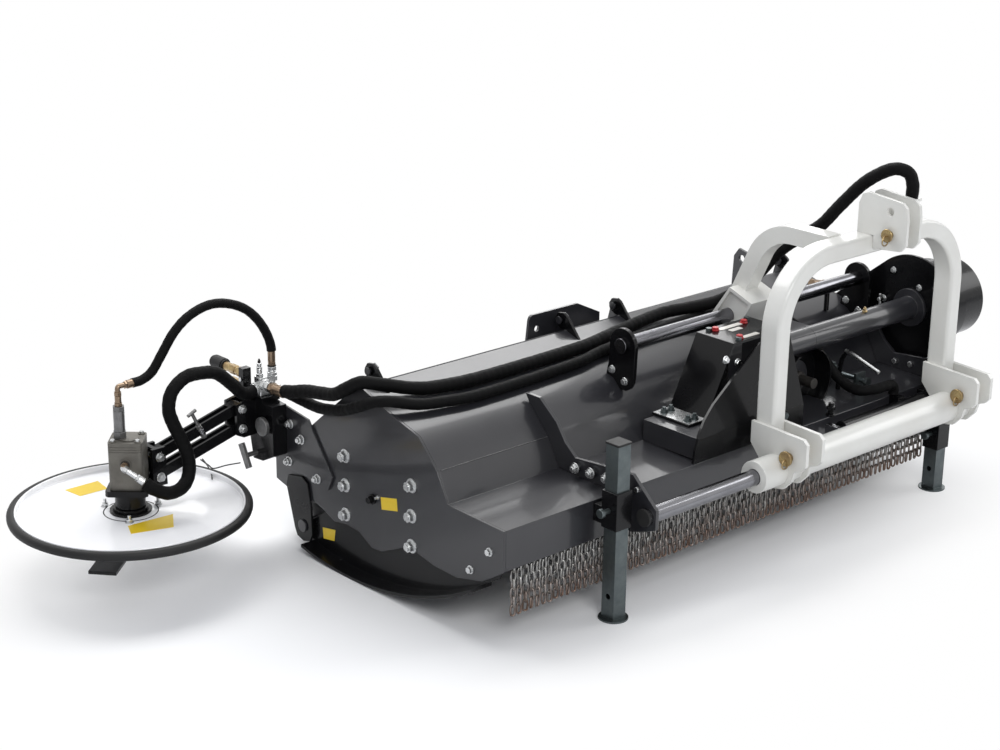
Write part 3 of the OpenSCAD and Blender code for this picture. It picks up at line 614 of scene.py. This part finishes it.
def label(name, corners, paint, body):
    """A thin plain label between four corners, 0.4 mm thick."""
    spots = [at(*c) for c in corners]
    lift = (spots[1] - spots[0]).cross(spots[2] - spots[1]).normalized() * 0.2 * MM
    bm = bmesh.new()
    bmesh.ops.create_cube(bm, size=1.0)
    for v in bm.verts:
        corner = (3 if v.co.y > 0 else 0) if v.co.x < 0 else (2 if v.co.y > 0 else 1)
        v.co = spots[corner] + (lift if v.co.z > 0 else -lift)
    bmesh.ops.recalc_face_normals(bm, faces=bm.faces)
    return add_piece(name, bm, paint, body, ())


def wire(name, points, radius, paint, body, sides=2):
    """A bent wire or pipe through given points."""
    route = smooth_route([at(*p) for p in points], 0.003)
    return add_piece(name, tube_mesh(name, route, radius * MM, 0, 6, sides), paint, body, (), smooth=60)


print("helpers for flat parts are ready")

# %% [markdown]
# The side disc is one pressed dish with a raised middle and a rolled rim, and a thick black rubber
# bumper goes round it. Both outlines are spun. Three studs hold the dish to the hub, and two plain
# yellow labels take the place of the printed ones.

# %% Dish and bumper
DISC = (-509, 1121)
LABEL_Z = 201.3
STUD = [(13, 2.5, ROUND), (10.5, 9, HEX), (5, 12, 16)]
bm = bmesh.new()
turned(bm, (*DISC, 0), UP, [
    (22, 196), (336, 196), (343, 198), (347, 203), (347, 221), (345.5, 223.5), (343, 223.5), (341, 221), (341, 207),
    (336, 202), (328, 201), (80, 201), (77, 202.4), (22, 202.4), (22, 196)], 96)
add_piece("dish", bm, disc_paint, "disc", ("guard_disc",))
bm = bmesh.new()
turned(bm, (*DISC, 0), UP, [
    (347.3, 198), (352, 195.3), (361, 196), (367, 200), (369, 206), (369, 213), (366, 219), (359, 223),
    (351, 223.2), (347.3, 221), (347.3, 198)], 96)
# painted shade: a thin black ring at the step of the raised middle stands in for the shadow in its gap
turned(bm, (*DISC, 0), UP, [(80.5, 201), (84, 201), (84, 201.8), (80.5, 201.8), (80.5, 201)], 64)
add_piece("disc_bumper", bm, rubber, "disc", ("guard_disc",), smooth=50)
spots = [(DISC[0] + 92 * math.cos(math.radians(a)), DISC[1] + 92 * math.sin(math.radians(a))) for a in (-5, 115, 235)]
hardware("disc_studs", bright_zinc, "disc", [((*s, 201), UP, STUD) for s in spots])
hardware("disc_hub", black_paint, "disc", [((*DISC, 202.4), UP, [(64, 8, 48), (54, 9, 48)])])
for name, corners in (("disc_label", ((-579, 1028), (-427, 1017), (-480, 932), (-604, 971))),
                      ("disc_side_label", ((-576, 1395), (-459, 1393), (-470, 1318), (-566, 1320)))):
    label(name, [(x, y, LABEL_Z) for x, y in corners], yellow_film, "disc")
wire("disc_tie", [(-151, 1274, 230), (-154, 1225, 226), (-154, 1197, 224), (-120, 1172, 234), (-84, 1148, 240)], 2.2,
     belt_rubber, "disc")
wire("disc_tie_tail", [(-152, 1262, 236), (-158, 1225, 225), (-172, 1185, 214), (-186, 1160, 206)], 2.2, belt_rubber,
     "disc")
print("dish dressed with", len(spots), "studs")

# %% [markdown]
# The motor is a cast housing with three seams under its cover, an oil port with a bent steel pipe in
# front and a long steel adaptor on top. It is turned 42 degrees on its flange, as in the photograph.

# %% Motor
TURN_OF_MOTOR = -42.0
SCREW, COVER_Z, PORT_Z = 37, 438, 372


def on_motor(x, y, z):
    """A point counted from the motor's middle, along its own faces; the height is counted from the ground."""
    p = Matrix.Rotation(math.radians(TURN_OF_MOTOR), 3, "Z") @ Vector((x, y, 0))
    return (DISC[0] + p.x, DISC[1] + p.y, z)


bm = bmesh.new()
CASTINGS = ((52, 288, 409), (51, 409, 411), (52, 411, 417), (51, 417, 419), (52, 419, 425), (51, 425, 427),
            (52, 427, COVER_Z))
for half, low, high in CASTINGS:
    rounded_block(bm, (DISC[0] - half, DISC[1] - half, low), (DISC[0] + half, DISC[1] + half, high), 13,
                  TURN_OF_MOTOR, DISC)
for x in (-SCREW, SCREW):
    for y in (-SCREW, SCREW):
        stack(bm, on_motor(x, y, COVER_Z), UP, [(11, 3, ROUND)])
stack(bm, on_motor(6, -6, COVER_Z), UP, [(30, 3.5, ROUND)])
out = Vector(on_motor(0, -1, 0)) - Vector(on_motor(0, 0, 0))
stack(bm, on_motor(0, -52, PORT_Z), out, [(19, 2.5, ROUND)])
add_piece("motor_housing", bm, cast_iron, "head", ("disc_motor",), edge=1.2)
down_pipe = Vector(on_motor(0.8, 0, -0.6)) - Vector(on_motor(0, 0, 0))
hardware("motor_screws", bright_zinc, "head", [
    (on_motor(x, y, COVER_Z + 3), UP, [(7, 6, ROUND), (3.5, 0.5, HEX)])
    for x in (-SCREW, SCREW) for y in (-SCREW, SCREW)])
TOP = (DISC[0] - 16, DISC[1] + 14)
hardware("motor_adaptor", dull_steel, "head", [
    ((*TOP, COVER_Z), UP, [(21, 22, HEX), (17, 66, ROUND), (19, 14, HEX)])], ("disc_motor",))
hardware("motor_port", dark_iron, "head", [(on_motor(0, -54.5, PORT_Z), out, [(14, 4, ROUND)])])
hardware("motor_brass", brass, "head", [
    (on_motor(0, -58, PORT_Z), out, [(12, 12, HEX), (9, 14, ROUND)]),
    ((*TOP, 540), UP, [(13, 10, HEX), (10, 22, ROUND), (12, 12, HEX)]),
    ((-502, 1135, 600), FAR, [(12, 8, HEX), (13, 26, ROUND)])])
wire("motor_elbow", [(*TOP, 582), (*TOP, 594), (TOP[0] + 5, TOP[1], 600), (TOP[0] + 26, 1135, 600)], 8, brass, "head",
     6)
hardware("motor_pipe", bright_zinc, "head", [
    (on_motor(0, -82, PORT_Z), down_pipe, [(11, 12, HEX), (8.5, 34, ROUND), (11, 8, HEX), (12, 20, ROUND)]),
    (on_motor(0, -82, 378), DOWN, [(9, 12, ROUND)])])
print("motor made of", len(CASTINGS), "cast rings and its fittings")

# %% [markdown]
# The two arms turn on plated bolts, and a long bolt with a cross head between them sets how hard the
# disc leans out. Its spring is a wire that winds round the bolt.

# %% Arm bolts and the adjusting bolt
BOLT = [(15, 2.5, ROUND), (12, 9, HEX), (7, 2, ROUND)]
hardware("head_bolts", bright_zinc, "head", [((-420, 1086, z), FRONT, BOLT) for z in (363, 298)])
hardware("carrier_bolts", bright_zinc, "machine", [((-115, 1086, z), FRONT, BOLT) for z in (446, 381)])
start, stop = Vector((-294, 1096, 472)), Vector((-251, 1096, 383))
lean = (stop - start).normalized()
bm = bmesh.new()
stack(bm, start, lean, [(5.5, (stop - start).length, 16)])
stack(bm, start + lean * 50, lean, [(9, 8, HEX), (9, 3, ROUND)])
stack(bm, start + lean * 86, lean, [(10, 3, ROUND), (9.5, 9, HEX)])
cross = lean.cross(Vector((0, 1, 0)))
stack(bm, start - cross * 17, cross, [(5.5, 34, 16)])
add_piece("adjusting_bolt", bm, dull_steel, "arm_upper", ())
side_way = Vector((0, 1, 0))
SPRING_FROM, SPRING_LENGTH, SPRING_RADIUS, SPRING_POINTS, SPRING_TURN = 61, 24, 8, 60, 0.55
turns = [start + lean * (SPRING_FROM + SPRING_LENGTH * k / SPRING_POINTS)
         + (cross * math.cos(k * SPRING_TURN) + side_way * math.sin(k * SPRING_TURN)) * SPRING_RADIUS
         for k in range(SPRING_POINTS + 1)]
wire("adjusting_spring", [tuple(p) for p in turns], 1.4, chrome, "arm_upper", 1)
print("adjusting bolt is", round((stop - start).length), "mm long")

# %% [markdown]
# The valve is a cluster of plated and brass fittings: the relief valve stands up in the middle, two
# spare couplings point back, and every hose ends in a hexagon and a crimped ferrule.

# %% Valve and couplings
bm = bmesh.new()
rounded_block(bm, (-58, 1066, 479), (2, 1100, 538), 4)
stack(bm, (-58, 1083, 508), NEAR, [(17, 12, HEX), (13, 8, ROUND)])
stack(bm, (2, 1083, 524), FAR, [(14, 10, HEX)])
stack(bm, (-46, 1064.4, 518), FRONT, [(20, 16, HEX), (15, 8, ROUND), (18, 14, HEX)])
stack(bm, (-2, 1064.4, 496), FRONT, [(17, 16, HEX), (13, 10, ROUND), (16, 26, HEX), (14, 12, ROUND)])
stack(bm, (-8, 1072, 538), UP, [(17, 12, HEX), (13, 6, ROUND), (15, 12, HEX)])
stack(bm, (-44, 1088, 538), UP, [(13, 10, HEX), (9, 16, ROUND), (10.5, 6, HEX), (7.5, 12, ROUND)])
stack(bm, (-60, 1072, 502), NEAR, [(14, 13, HEX)])
add_piece("valve_body", bm, bright_zinc, "machine", ("valve_block",), edge=1.0)
hardware("valve_black", rubber, "machine", [
    ((-44, 1088, 582), UP, [(5, 8, 16), (3, 5, 16)]),
    ((-46, 1026.4, 518), FRONT, [(17, 3, ROUND)]),
    ((-8, 1072, 568), UP, [(14, 3, ROUND)]),
    ((-77, 1222, 545), REAR, [(19, 6, ROUND), (22, 52, ROUND), (19, 8, ROUND)])], ("valve_block",))
hardware("valve_brass", brass, "machine", [
    ((-46, 1023.4, 518), FRONT, [(18, 16, HEX), (16, 6, ROUND), (17, 44, ROUND)]),
    ((-8, 1072, 571), UP, [(13, 13, HEX), (12, 36, ROUND)])], ("valve_block",))
hardware("couplings", yellow_zinc, "machine", [
    ((-77, 1132, 545), REAR, [(16, 22, HEX), (13, 8, ROUND), (16, 30, HEX), (14, 30, ROUND)]),
    ((-77, 1132, 502), REAR, [(16, 24, HEX), (13, 6, ROUND), (16, 34, HEX), (12, 18, ROUND)])], ("valve_block",))
hardware("mast_screws", bright_zinc, "machine", [((-92, 1120, 530), NEAR, [(8, 5, HEX)]),
                                                         ((-92, 1120, 486), NEAR, [(8, 5, HEX)])])
print("valve, two spare couplings and their screws made")

# %% [markdown]
# Small bright things tell the size of a machine. On the stand there are red caps and pale strips. On the
# plates there are nuts with washers. A thin bright wire along the sheet's bend is a painted highlight, and
# three plain labels take the place of printed ones.

# %% Caps, strips, nuts and labels
hardware("red_caps", red_plastic, "machine", [
    (spot, UP, [(13, 5, HEX), (11, 7, HEX)]) for spot in ((1095, 218, 665), (1224, 213, 665), (1094, 116, 665))])
bm = bmesh.new()
for low, high in (((1108, 206, 664.5), (1212, 226, 666.5)), ((1128, 176, 664.5), (1180, 196, 666)),
                  ((1107, 106, 664.5), (1180, 124, 666.5))):
    rounded_block(bm, low, high, 3)
add_piece("stand_strips", bm, pale_film, "machine", ())
hardware("plate_bolts", bright_zinc, "machine", [
    ((-8.2, y, z), NEAR, [(16, 4, ROUND), (13, 10, HEX), (8, 7, ROUND)])
    for y, z in ((980, 402), (924, 366), (990, 275), (844, 259))])
hardware("bracket_nuts", bright_zinc, "machine", [
    ((430.8, y, z), NEAR, [(17, 3, ROUND), (14, 9, HEX), (8, 5, ROUND)])
    for y, z in ((30, 395), (95, 392), (160, 388))])
hardware("side_socket", black_paint, "machine", [
    ((0, 581, 273), NEAR, [(16, 9, ROUND), (12, 13, HEX)])])
hardware("stand_bolts", bright_zinc, "machine", [
    (spot, FRONT, [(13, 2.5, ROUND), (10, 8, HEX)]) for spot in ((1005, 92, 620), (1060, 92, 600))])
# painted highlight: this thin bright wire stands in for the light caught along the bend of the sheet
wire("bend_highlight", [(16, 287, 450), (120, 287, 450), (330, 287, 450), (437, 287, 450)], 1.1, dull_steel, "machine",
     1)
label("side_label", [(-0.4, 545, 290), (-0.4, 470, 308), (-0.4, 466, 269), (-0.4, 541, 251)], yellow_film, "machine")
label("skid_label", [(7.6, 845, 91), (7.6, 780, 103), (7.6, 786, 64), (7.6, 841, 55)], yellow_film, "machine")
label("cylinder_label", [(1632, -62.3, 334), (1668, -62.3, 334), (1668, -62.3, 318), (1632, -62.3, 318)], rose_film,
      "machine")
print("the stand, the plates and the bend have their small things")

# %% [markdown]
# The legs and the rail end in black caps. A bright plated sheet on the stand's foot is a painted sheen, where
# the foot's top catches the light. A stud stands on the deck, and a bent lever stands inside the hoop; the
# lever's upright foot is black as painted shade below its bright rod.

# %% Caps on the legs, the rail and the stand's foot
bm = bmesh.new()
rounded_block(bm, (348, -97, 547), (404, -41, 554), 4)
add_piece("near_leg_cap", bm, rubber, "leg_near", (), edge=1.0)
bm = bmesh.new()
rounded_block(bm, (1900.5, -93.5, 256), (1947.5, -44.5, 262), 4)
add_piece("far_leg_cap", bm, rubber, "leg_far", (), edge=1.0)
bm = bmesh.new()
stack(bm, (422, -130, 323), FAR, [(27, 8, ROUND)])
stack(bm, (1994, -130, 323), FAR, [(27, 8, ROUND)])
add_piece("rail_caps", bm, rubber, "machine", ())
# painted sheen: a bright plated sheet on the foot stands in for the light that the foot's top catches
bm = bmesh.new()
rounded_block(bm, (852, 94, 440.6), (932, 246, 442.4), 3)
add_piece("foot_sheen_plate", bm, bright_zinc, "machine", ())
hardware("deck_stud", black_paint, "machine", [
    ((1438, 8, 357), UP, [(15, 6, ROUND), (9, 14, ROUND), (14, 12, HEX), (9, 12, ROUND)])])
# painted shade: the lever's upright foot is black, standing in for the shade below the bright rod
wire("lever_shade_foot", [(1652, 150, 362), (1652, 148, 420), (1652, 140, 470), (1652, 122, 500)], 8, black_paint, "machine",
     4)
wire("lever", [(1652, 128, 502), (1652, 100, 497), (1652, 50, 481), (1652, -14, 461)], 7, bright_zinc, "machine",
     4)
print("capped both legs and the rail")

# %% [markdown]
# The belt guard has four bolts and a latch, the drive tube a grease nipple, and the upper rail's brackets
# their bolts. Spring rings go through the hitch pins.

# %% Guard bolts, latch, nipple and rings
hardware("guard_bolts", bright_zinc, "machine", [
    ((2010, y, z), NEAR, [(11, 2, ROUND), (8.5, 7, HEX)]) for y, z in ((221, 694), (110, 655), (330, 600), (20, 560))])
hardware("guard_latch", bright_zinc, "machine", [
    ((2010, 254, 586), NEAR, [(12, 3, ROUND), (7, 26, ROUND)]), ((1990, 254, 566), UP, [(5, 40, ROUND)])])
hardware("grease_nipple", yellow_zinc, "machine", [
    ((1741, 129, 618), UP, [(9, 6, HEX), (6, 8, ROUND), (3.5, 4, ROUND)])])
hardware("far_hose_end", brass, "machine", [
    ((1770, 385, 655), (0.96, 0, -0.27), [(15, 60, ROUND), (18, 26, HEX), (16, 40, ROUND), (12, 22, ROUND)])])
hardware("far_hose_stand", black_paint, "machine", [((1862, 386, 540), UP, [(9, 84, ROUND)])])
hardware("ring_bolts", bright_zinc, "machine", [
    ((x, y, z), NEAR, [(13, 3, ROUND), (10, 8, HEX)]) for x in (800, 1961) for y, z in ((378, 560), (322, 534))])
RING_SPOTS = ((986, -183, 360), (1856, -183, 360), (1424, -166, 980))
bm = bmesh.new()
for spot in RING_SPOTS:
    ring(bm, spot, FRONT, 15, 2.2)
add_piece("spring_rings", bm, yellow_zinc, "hitch", (), smooth=60)
print("rings through", len(RING_SPOTS), "hitch pins")

# %% [markdown]
# A photographer's white sweep: a pale floor that keeps the shadow and fades into the white behind it,
# a bright even world, and big soft lamps that draw long clean lines along the tubes.

# %% Floor
FADE_FROM, FADE_TO, FLOOR_HALF = 0.62, 1.35, 30
floor_paint = bpy.data.materials.new("floor")
floor_paint.use_nodes = True
nodes, link = floor_paint.node_tree.nodes, floor_paint.node_tree.links.new
near_floor = nodes["Principled BSDF"]
near_floor.inputs["Base Color"].default_value = (0.9, 0.9, 0.9, 1)
near_floor.inputs["Roughness"].default_value = 0.7
near_floor.inputs["Specular IOR Level"].default_value = 0.2
white = nodes.new("ShaderNodeEmission")
place = nodes.new("ShaderNodeTexCoord")
stretch = nodes.new("ShaderNodeVectorMath")
stretch.operation = "MULTIPLY"
stretch.inputs[1].default_value = (0.55, 1.0, 1.0)
link(place.outputs["Object"], stretch.inputs[0])
reach = nodes.new("ShaderNodeVectorMath")
reach.operation = "LENGTH"
link(stretch.outputs["Vector"], reach.inputs[0])
fade = nodes.new("ShaderNodeMapRange")
fade.interpolation_type = "SMOOTHSTEP"
fade.inputs["From Min"].default_value = FADE_FROM
fade.inputs["From Max"].default_value = FADE_TO
link(reach.outputs["Value"], fade.inputs["Value"])
seen = nodes.new("ShaderNodeLightPath")
only_seen = nodes.new("ShaderNodeMath")
only_seen.operation = "MULTIPLY"
link(fade.outputs["Result"], only_seen.inputs[0])
link(seen.outputs["Is Camera Ray"], only_seen.inputs[1])
mix = nodes.new("ShaderNodeMixShader")
link(only_seen.outputs[0], mix.inputs["Fac"])
link(near_floor.outputs["BSDF"], mix.inputs[1])
link(white.outputs["Emission"], mix.inputs[2])
link(mix.outputs["Shader"], nodes["Material Output"].inputs["Surface"])
floor_mesh = bpy.data.meshes.new("floor")
bm = bmesh.new()
bmesh.ops.create_grid(bm, x_segments=1, y_segments=1, size=FLOOR_HALF)
bm.to_mesh(floor_mesh)
bm.free()
floor_mesh.materials.append(floor_paint)
floor = bpy.data.objects.new("floor", floor_mesh)
bpy.context.scene.collection.objects.link(floor)
print("floor laid")

# %% [markdown]
# The world is a little blue where it only lights, and pure white where it is seen or mirrored.

# %% World and lamps
world = bpy.data.worlds.new("studio")
bpy.context.scene.world = world
world.use_nodes = True
nodes, link = world.node_tree.nodes, world.node_tree.links.new
soft = nodes["Background"]
soft.inputs["Color"].default_value = (0.9, 0.93, 1.0, 1)
soft.inputs["Strength"].default_value = 0.5
backdrop = nodes.new("ShaderNodeBackground")
backdrop.inputs["Color"].default_value = (1, 1, 1, 1)
seen = nodes.new("ShaderNodeLightPath")
blend = nodes.new("ShaderNodeMixShader")
either = seen.outputs["Is Camera Ray"]
for ray in ("Is Glossy Ray", "Is Transmission Ray"):
    bigger = nodes.new("ShaderNodeMath")
    bigger.operation = "MAXIMUM"
    link(either, bigger.inputs[0])
    link(seen.outputs[ray], bigger.inputs[1])
    either = bigger.outputs[0]
link(either, blend.inputs["Fac"])
link(soft.outputs["Background"], blend.inputs[1])
link(backdrop.outputs["Background"], blend.inputs[2])
link(blend.outputs["Shader"], nodes["World Output"].inputs["Surface"])


def lamp(name, place, target, size, power):
    """A soft rectangular lamp that looks at a target; measures in metres, power in watts."""
    data = bpy.data.lights.new(name, "AREA")
    data.shape = "RECTANGLE"
    data.size, data.size_y = size
    data.energy = power
    thing = bpy.data.objects.new(name, data)
    thing.location = place
    thing.rotation_euler = (Vector(target) - Vector(place)).to_track_quat("-Z", "Y").to_euler()
    bpy.context.scene.collection.objects.link(thing)


lamp("key", (-2.5, -5.0, 4.2), (0.2, 0, 0.4), (3.0, 2.0), 150)
lamp("top", (0.6, 1.6, 3.6), (0.2, 0.1, 0.5), (5.0, 1.8), 150)
lamp("side", (5.0, -2.5, 3.0), (0.5, 0, 0.5), (2.5, 2.5), 70)
lamp("back", (4.5, 4.2, 2.8), (0, -0.3, 0.36), (4.5, 0.8), 40)
bpy.context.scene.view_settings.view_transform = "Standard"
print("lit by", len(bpy.data.lights), "lamps")
